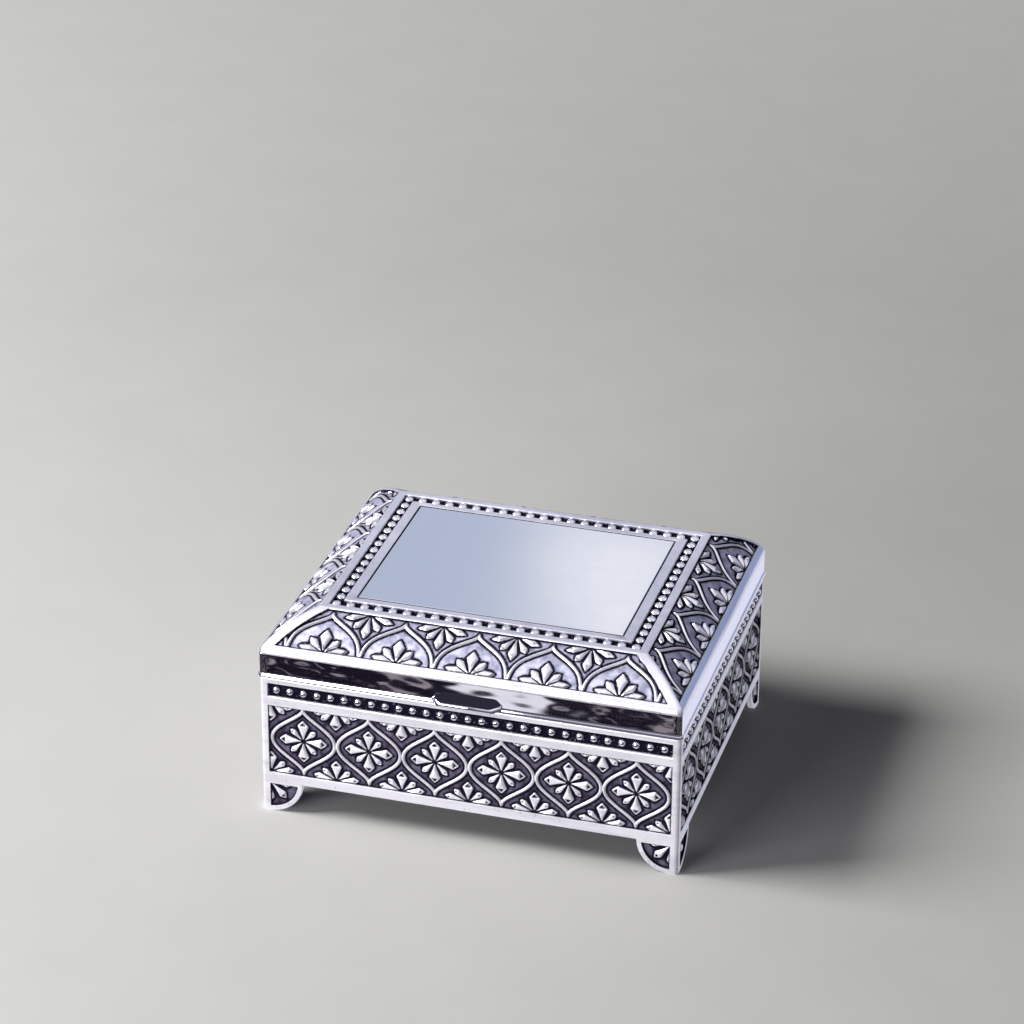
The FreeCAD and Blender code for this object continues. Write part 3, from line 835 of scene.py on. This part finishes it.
def lid_rim():
    """The lid's mirror-bright upright rim, from its lip to the eave, slightly uneven like cast metal."""
    half_x, half_y = lid_half_x, lid_half_y
    lip_low = shell_low[2]
    lip_top = lip_low + LIP_HEIGHT
    # How far out and how high: the lip, then the rim above it.
    rows = [
        (LIP_PROUD - 0.12, lip_low),
        (LIP_PROUD, lip_low + 0.15),
        (LIP_PROUD, lip_top - 0.2),
        (LIP_PROUD - 0.1, lip_top),
        (0.05, lip_top + 0.03),
        (0, lip_top + 0.12),
    ]
    rows += [(0, level) for level in spaced(lip_top + 0.6, RIM_TOP - 0.08, 0.6)] + [(-0.1, RIM_TOP)]
    profile = [(half_x + out, half_y + out, LID_CORNER + out, level) for out, level in rows]
    profile += [(half_x - LID_WALL, half_y - LID_WALL, 0.3, level) for level in (RIM_TOP, lip_low)]
    loops = ring_loops(profile, 1.0)
    outside = slice(5, len(profile) - 3)
    faces = loops[:, outside]
    place = faces[..., :2]
    outwards = np.sign(place) * smooth((np.abs(place) - (half_x, half_y) + RIM_SIDE) / RIM_SIDE)
    run = faces[..., 0] + faces[..., 1]
    waves = np.sin(run / 4.3 + faces[..., 2] * 0.9) + np.sin(run / 2.1 - faces[..., 2] * 0.5 + 1.3)
    fade = np.sin(math.pi * np.clip((faces[..., 2] - lip_top) / (RIM_TOP - lip_top), 0, 1))
    loops[:, outside, :2] += outwards * (RIM_WAVE * waves * fade)[..., None]
    behind = (loops[..., 1] > half_y) & (np.abs(loops[..., 0]) < HINGE_NOTCH)
    loops[..., 1] = np.where(behind, half_y, loops[..., 1])
    shells = Shells()
    shells.loft(loops, ring=True)
    shells.piece("lid_rim", polished_silver, "lid", "antiqued_silver", ["lid_shell"])


def lid_frame():
    """The flat frame round the plate, with a row of beads in a black channel."""
    flat = (FLAT_HALF_X, FLAT_HALF_Y)
    window = (plate_high[0] + PLATE_GAP, plate_high[1] + PLATE_GAP)
    outer, inner = TOP_BORDER, TOP_BORDER + TOP_CHANNEL
    # Which outline, how far outside it, corner radius, height over the crest, and how black.
    steps = [
        (flat, 0, HIP_ROUND, 0, 0),
        (flat, -outer + 0.12, 0.3, 0, 0),
        (flat, -outer, 0.25, -0.1, 0.2),
        (flat, -outer - 0.08, 0.2, -BAND_DEPTH, 1),
        (flat, -inner + 0.08, 0.2, -BAND_DEPTH, 1),
        (flat, -inner, 0.25, -0.1, 0.2),
        (flat, -inner - 0.12, 0.3, 0, 0),
        (window, 0.16, 0.5, 0, 0),
        (window, 0.02, 0.4, -0.1, 1),
        (window, 0, 0.4, -LID_WALL, 1),
        (flat, -LID_WALL, 0.3, -LID_WALL, 0),
        (flat, -0.02, HIP_ROUND, -0.3, 0),
    ]
    profile = [(x + out, y + out, radius, crest + depth) for (x, y), out, radius, depth, _ in steps]
    black = np.array([step[4] for step in steps], float)
    # Painted shade: the frame's plain strips are coloured part way to the dark ground, as well as made
    # rougher.
    dull = TOP_DULLNESS_AND_SHADE * (1 - black)
    finish = np.stack([black, dull, 0 * black], axis=-1)[None]
    shells = Shells()
    shells.loft(ring_loops(profile, 4.0), finish, ring=True)
    middle = TOP_BORDER + TOP_CHANNEL / 2
    row_x, row_y = FLAT_HALF_X - middle, FLAT_HALF_Y - middle
    beads_x = np.linspace(-1, 1, TOP_BEADS_X) * row_x
    beads_y = np.linspace(-1, 1, TOP_BEADS_Y) * row_y
    places = [(x, side * row_y) for side in (-1, 1) for x in beads_x]
    places += [(side * row_x, y) for side in (-1, 1) for y in beads_y[1:-1]]
    for x, y in places:
        bead(shells, (x, y, crest - BAND_DEPTH - BEAD_SUNK), (0, 0, 1), TOP_BEAD, BAND_DEPTH + 0.1)
    shells.piece("lid_top_frame", lid_silver, "lid", "antiqued_silver", ["lid_shell"])


def engraving_plate():
    """The blank satin plate on the lid, with softened edges and the slight unevenness of hand polishing."""
    half_x, half_y = plate_high[0], plate_high[1]
    low, high = plate_low[2], plate_high[2]
    x, y = np.meshgrid(edged(half_x, 1.0, 0.1), edged(half_y, 1.0, 0.1), indexing="ij")
    edge = np.minimum(half_x - np.abs(x), half_y - np.abs(y))
    waves = np.sin(x / 9 + y / 14) + 0.6 * np.sin(y / 8 - x / 21 + 1)
    up = high - 0.08 * (1 - smooth(edge / 0.1)) + PLATE_WAVE * waves
    face = np.stack([x, y, up], axis=-1)
    shells = Shells()
    shells.flat_backed(face, low)
    shells.piece("engraving_plate_satin", satin_silver, "lid", "polished_silver", ["engraving_plate"])


def thumb_lift():
    """The tab on the front of the lid: a flat bar with clipped front corners and rounded edges."""
    half_wide = thumb_high[0]
    front, behind = thumb_low[1], thumb_high[1]
    low, high = thumb_low[2], thumb_high[2]
    clip = half_wide / 2
    outline = [(-half_wide, behind), (-half_wide, behind - 0.6), (-half_wide + clip * 0.42, front + 0.25),
               (-half_wide + clip * 0.55, front), (half_wide - clip * 0.55, front),
               (half_wide - clip * 0.42, front + 0.25), (half_wide, behind - 0.6), (half_wide, behind)]
    outline = np.array(outline)
    centre = np.array([0, behind])
    levels = [(0.12, low), (0, low + 0.1), (0, high - 0.35), (0.08, high - 0.22), (0.42, high)]
    loops = []
    for inset, level in levels:
        towards = centre - outline
        distance = np.maximum(np.hypot(towards[:, 0], towards[:, 1]), 0.01)[:, None]
        shrunk = outline + towards / distance * inset
        shrunk[:, 1] = np.where(outline[:, 1] > behind - 0.01, behind, shrunk[:, 1])
        loops.append(np.column_stack([shrunk, np.full(len(outline), level)]))
    shells = Shells()
    shells.loft(np.array(loops))
    shells.piece("thumb_lift_bar", polished_silver, "lid", "polished_silver", ["thumb_lift"], crease=30)


# ------------ lining
# A pad's rolled edge, and how far its outline is pulled in between its corners.
PAD_ROLL, PAD_PULL = 1.8, 0.35
# How far a liner swells, and how far it waves along its wall.
LINER_PUFF, LINER_SAG = 0.12, 0.02
# How far the felt's edge wanders, and how uneven its face is.
FELT_WANDER, FELT_DIP = 0.12, 0.06
# The line of stitching round a pad.
SEAM_INSET, SEAM_WIDTH, SEAM_DEPTH = 3.0, 0.45, 0.35


def pillow(name, node, body, crown, upwards):
    """A velvet pad: crowned on its open side, its outline pulled in a little between its corners."""
    low, high = mm_box(node)
    middle = (low + high) / 2
    half = (high - low) / 2
    share_u = np.sin(spaced(-1, 1, 0.013) * math.pi / 2)
    share_v = np.sin(spaced(-1, 1, 0.016) * math.pi / 2)
    u, v = np.meshgrid(share_u, share_v, indexing="ij")
    across = u * (half[0] - PAD_PULL * (1 - v * v))
    along = v * (half[1] - PAD_PULL * (1 - u * u))
    edge = np.minimum((1 - np.abs(u)) * half[0], (1 - np.abs(v)) * half[1])
    roll = np.sqrt(np.clip(1 - np.clip(1 - edge / PAD_ROLL, 0, 1) ** 2, 0, 1))
    swell = (1 - u ** 4) * (1 - v ** 4)
    seam = SEAM_DEPTH * np.exp(-((edge - SEAM_INSET) / SEAM_WIDTH) ** 2)
    rise = (2 * half[2] - crown) * (0.2 + 0.8 * roll) + crown * swell - seam
    base, way = (low[2], 1) if upwards else (high[2], -1)
    face = np.stack([middle[0] + across, middle[1] + along, base + way * rise], axis=-1)
    shells = Shells()
    shells.flat_backed(face, base)
    pad = shells.piece(name, velvet_cloth, body, "velvet", [node], crease=70)


def wall_liner(node, quarter_turns):
    """A velvet strip against the inside of a wall, plump between its edges and rolled over the top."""
    low, high = mm_box(node)
    along_axis = 0 if quarter_turns % 2 == 0 else 1
    out_axis = 1 - along_axis
    half_along = high[along_axis]
    outer = max(abs(low[out_axis]), abs(high[out_axis]))
    thick = high[out_axis] - low[out_axis]
    height = high[2] - low[2]
    columns = spaced(-1, 1, 0.04)
    lift = np.linspace(0, 1, 22)
    roll = np.linspace(0, math.pi, 9)[1:-1]
    plump = LINER_PUFF * np.sin(lift * math.pi) ** 0.6
    inner_line = [(thick * 0.9 + puff, share * (height - thick / 2)) for share, puff in zip(lift, plump)]
    top_line = [(thick / 2 + thick * 0.42 * math.cos(turn), height - thick / 2 + thick / 2 * math.sin(turn))
                for turn in roll]
    outline = np.array(inner_line + top_line + [(0.06, height - thick / 2), (0.06, 0.0)])
    inset, up = outline[:, 0], outline[:, 1]
    reach = half_along - inset
    sag = LINER_SAG * np.sin(columns * 11)[:, None] * np.clip(up / height, 0, 1)
    along = columns[:, None] * reach
    out = np.broadcast_to(outer - inset, along.shape) + sag
    loops = turned(along, out, np.broadcast_to(low[2] + up, along.shape), quarter_turns)
    shells = Shells()
    shells.loft(loops)
    strip = shells.piece(node + "_velvet", velvet_cloth, "case", "velvet", [node], crease=60)


def felt_sheet():
    """The felt glued under the floor, its edge cut slightly unevenly."""
    low, high = mm_box("underside_felt")
    u, v = np.meshgrid(spaced(-1, 1, 0.01), spaced(-1, 1, 0.04), indexing="ij")
    wobble = FELT_WANDER * np.sin(u * 31 + 2 * v) * np.abs(v)
    dip = FELT_DIP * np.sin(u * 17) * np.sin(v * 13)
    face = np.stack([u * high[0], v * (high[1] - 0.15) + wobble, low[2] + 0.08 + dip], axis=-1)
    shells = Shells()
    shells.flat_backed(face, high[2])
    sheet = shells.piece("underside_felt_sheet", felt_cloth, "case", "underside_felt", ["underside_felt"])


def dress(node, material, round_edges=0.0):
    """Gives a CAD node its material and softened edges."""
    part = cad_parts[node]
    part.data.materials.clear()
    part.data.materials.append(material)
    if round_edges:
        bevel = part.modifiers.new("soft_edges", "BEVEL")
        bevel.width = round_edges * MM
        bevel.segments = 2
        bevel.limit_method = "ANGLE"


LONG_SIDE, SHORT_SIDE = (case_half_x, case_half_y), (case_half_y, case_half_x)
LONG_LID = (lid_half_x, lid_half_y, FLAT_HALF_X, FLAT_HALF_Y)
SHORT_LID = (lid_half_y, lid_half_x, FLAT_HALF_Y, FLAT_HALF_X)
SIDES = ("front", "right", "back", "left")

for turns, side in enumerate(SIDES):
    sizes, ornament = (LONG_SIDE, LONG_WALL) if turns % 2 == 0 else (SHORT_SIDE, SHORT_WALL)
    case_wall(side + "_wall", *sizes, quarter_turns=turns, **ornament)
for side_x, side_y in ((1, -1), (1, 1), (-1, 1), (-1, -1)):
    ends = "front" if side_y < 0 else "back", "right" if side_x > 0 else "left"
    bracket_foot("_".join(ends) + "_foot", side_x, side_y)
for turns, side in enumerate(SIDES):
    sizes, ornament = (LONG_LID, LONG_SLOPE) if turns % 2 == 0 else (SHORT_LID, SHORT_SLOPE)
    lid_slope(f"lid_{side}_slope", *sizes, quarter_turns=turns, **ornament)
lid_rim()
lid_frame()
engraving_plate()
thumb_lift()

pillow("base_pad_velvet", "base_pad", "case", 1.3, True)
pillow("lid_pad_velvet", "lid_pad", "lid", 1.0, False)
for turns, side in enumerate(SIDES):
    wall_liner(side + "_liner", turns)
felt_sheet()

dress("floor_plate", polished_silver, 0.1)
for part in ("base_card", "lid_card"):
    dress(part, grey_card, 0.1)
for part in ("case_hinge_leaf", "lid_hinge_leaf", "hinge_pin", "case_hinge_rivets", "lid_hinge_rivets"):
    dress(part, hinge_silver, 0.12)


# ------------ floor, light and camera
def floor_sheet():
    """The plain pale surface the box stands on; far away it glows in the backdrop's colour, a painted glow
    that fades it into the backdrop.
    """
    mesh = bpy.data.meshes.new("floor")
    turn = np.arange(FLOOR_SIDES) / FLOOR_SIDES * 2 * math.pi
    rim = np.stack([np.cos(turn), np.sin(turn), 0 * turn], axis=-1) * FLOOR_RADIUS
    mesh.from_pydata(rim, [], [list(range(FLOOR_SIDES))])
    shader = Shader("floor")
    paper = shader.noise(40, 3.0)
    colour = shader.mix(shader.between(paper, 0.3, 0.7), (0.44, 0.44, 0.43), (0.455, 0.455, 0.445))
    shader.set(Base_Color=colour, Roughness=0.8, Specular_IOR_Level=0.1)
    # Painted glow: further from the box the floor gives off light in the backdrop's colour, though it is no
    # lamp.
    from_box = shader.add("ShaderNodeVectorMath", operation="LENGTH")
    shader.feed(from_box.inputs[0], shader.place)
    glow = shader.between(from_box.outputs["Value"], *FLOOR_GLOW_RANGE, 0.0, 0.9)
    shader.set(Emission_Color=(*BACKDROP, 1), Emission_Strength=glow)
    shader.material.cycles.emission_sampling = "NONE"
    mesh.materials.append(shader.material)
    floor = placed("floor", mesh)
    floor.visible_glossy = False


# The surroundings by height: where a step starts and ends, and the new colour below or above it.
HEIGHT_STEPS = (
    (-0.70, -0.58, (0.66, 0.65, 0.70), None),
    (-0.42, -0.15, None, (0.16, 0.16, 0.20)),
    (0.0, 0.45, None, (0.48, 0.49, 0.58)),
    (0.50, 0.70, None, (0.84, 0.84, 0.92)),
)
# Pale things in a dark room: the noise they are cut from, and the two colours.
THINGS = {"Scale": 24.0, "Detail": 2.0, "Distortion": 4.0}
DARK_ROOM, PALE_THINGS = (0.010, 0.008, 0.017), (0.30, 0.27, 0.29)
AMBIENT = (0.045, 0.045, 0.05)
# Soft cards: the direction each stands in, its reach, its soft edge, and its colour.
CARDS = (
    # Seen in the right wall, then in the left slope.
    ((0.22, 0.85, -0.48), 0.30, 0.20, (0.78, 0.80, 0.94)),
    ((-0.55, 0.83, -0.07), 0.20, 0.15, (0.45, 0.48, 0.62)),
    ((-0.22, 0.96, -0.13), 0.14, 0.15, (0.10, 0.10, 0.15)),
    # Seen in the right slope, then in the corner beside it.
    ((0.34, 0.85, 0.40), 0.22, 0.18, (0.40, 0.43, 0.60)),
    ((0.52, 0.85, 0.08), 0.22, 0.18, (0.26, 0.34, 0.56)),
    ((0.65, 0.62, -0.42), 0.22, 0.20, (0.95, 0.95, 1.0)),
    # Seen in the plate.
    ((-0.26, 0.85, 0.46), 0.16, 0.10, (0.48, 0.54, 0.68)),
    ((-0.219, 0.853, 0.4765), 0.004, 0.038, (1.0, 1.0, 1.05)),
    # Seen in the rim's front, then in the front slope.
    ((-0.2436, -0.829, -0.503), 0.010, 0.006, (0.85, 0.84, 0.90)),
    ((-0.341, -0.839, -0.435), 0.022, 0.008, (0.008, 0.006, 0.014)),
    ((-0.308, -0.845, -0.441), 0.004, 0.010, (0.42, 0.40, 0.45)),
    ((-0.25, -0.85, 0.46), 0.10, 0.12, (0.03, 0.03, 0.045)),
)


def studio():
    """A soft studio: dark low down with pale things in it, bright overhead, and soft cards."""
    world = bpy.data.worlds.new("studio")
    bpy.context.scene.world = world
    world.use_nodes = True
    sky = Nodes(world.node_tree)
    sky.tree.nodes.clear()

    def background(colour):
        node = sky.add("ShaderNodeBackground")
        sky.fill(node, Color=colour)
        return node.outputs[0]

    def step(value, low, high):
        return sky.between(value, low, high, kind="SMOOTHSTEP")

    direction = sky.add("ShaderNodeTexCoord").outputs["Generated"]
    parts = sky.add("ShaderNodeSeparateXYZ")
    sky.feed(parts.inputs[0], direction)
    height = parts.outputs["Z"]
    things = sky.add("ShaderNodeTexNoise")
    sky.fill(things, Vector=direction, **THINGS)
    colour = sky.mix(step(things.outputs["Fac"], 0.56, 0.59), DARK_ROOM, PALE_THINGS)
    for low, high, below, above in HEIGHT_STEPS:
        colour = sky.mix(step(height, low, high), below or colour, above or colour)
    for centre, reach, soft, card in CARDS:
        distance = sky.add("ShaderNodeVectorMath", operation="DISTANCE")
        sky.feed(distance.inputs[0], direction)
        sky.feed(distance.inputs[1], Vector(centre).normalized())
        colour = sky.mix(step(distance.outputs["Value"], reach, reach + soft), card, colour)
    ray = sky.add("ShaderNodeLightPath")
    lit = background(colour)
    for kind, light in (("Is Diffuse Ray", AMBIENT), ("Is Camera Ray", BACKDROP)):
        join = sky.add("ShaderNodeMixShader")
        sky.feed(join.inputs[0], ray.outputs[kind])
        sky.feed(join.inputs[1], lit)
        sky.feed(join.inputs[2], background((*light, 1)))
        lit = join.outputs[0]
    sky.fill(sky.add("ShaderNodeOutputWorld"), Surface=lit)


def area_light(name, place, aim, size, power, colour):
    """A soft square light at a place, facing a point."""
    data = bpy.data.lights.new(name, "AREA")
    data.shape = "RECTANGLE"
    data.size, data.size_y = size
    data.energy = power
    data.color = colour
    light = placed(name, data)
    light.location = place
    light.rotation_euler = (Vector(aim) - Vector(place)).to_track_quat("-Z", "Y").to_euler()


def camera():
    """The photograph's view: from the front, a little to the right and above."""
    azimuth = math.radians(CAMERA_AZIMUTH)
    elevation = math.radians(CAMERA_ELEVATION)
    back = Vector((
        math.sin(azimuth) * math.cos(elevation),
        -math.cos(azimuth) * math.cos(elevation),
        math.sin(elevation),
    ))
    data = bpy.data.cameras.new("camera")
    data.lens = CAMERA_LENS
    data.sensor_width = 36.0
    data.clip_start = 0.01
    data.clip_end = 20.0
    view = placed("camera", data)
    aim = Vector(CAMERA_AIM)
    level = (-back).to_track_quat("-Z", "Y").to_matrix()
    roll = Matrix.Rotation(math.radians(CAMERA_ROLL), 3, "Z")
    view.matrix_world = Matrix.Translation(aim + back * CAMERA_DISTANCE) @ (level @ roll).to_4x4()
    bpy.context.scene.camera = view


floor_sheet()
studio()
area_light("key", (-0.78, -0.22, 0.72), (0, 0, 0.02), (0.45, 0.45), 18.0, (1.0, 0.99, 0.97))
area_light("front", (-0.50, -0.85, 0.14), (0, 0, 0.02), (0.6, 0.45), 12.5, (0.97, 0.97, 1.0))
camera()
bpy.context.scene.view_settings.view_transform = "Standard"
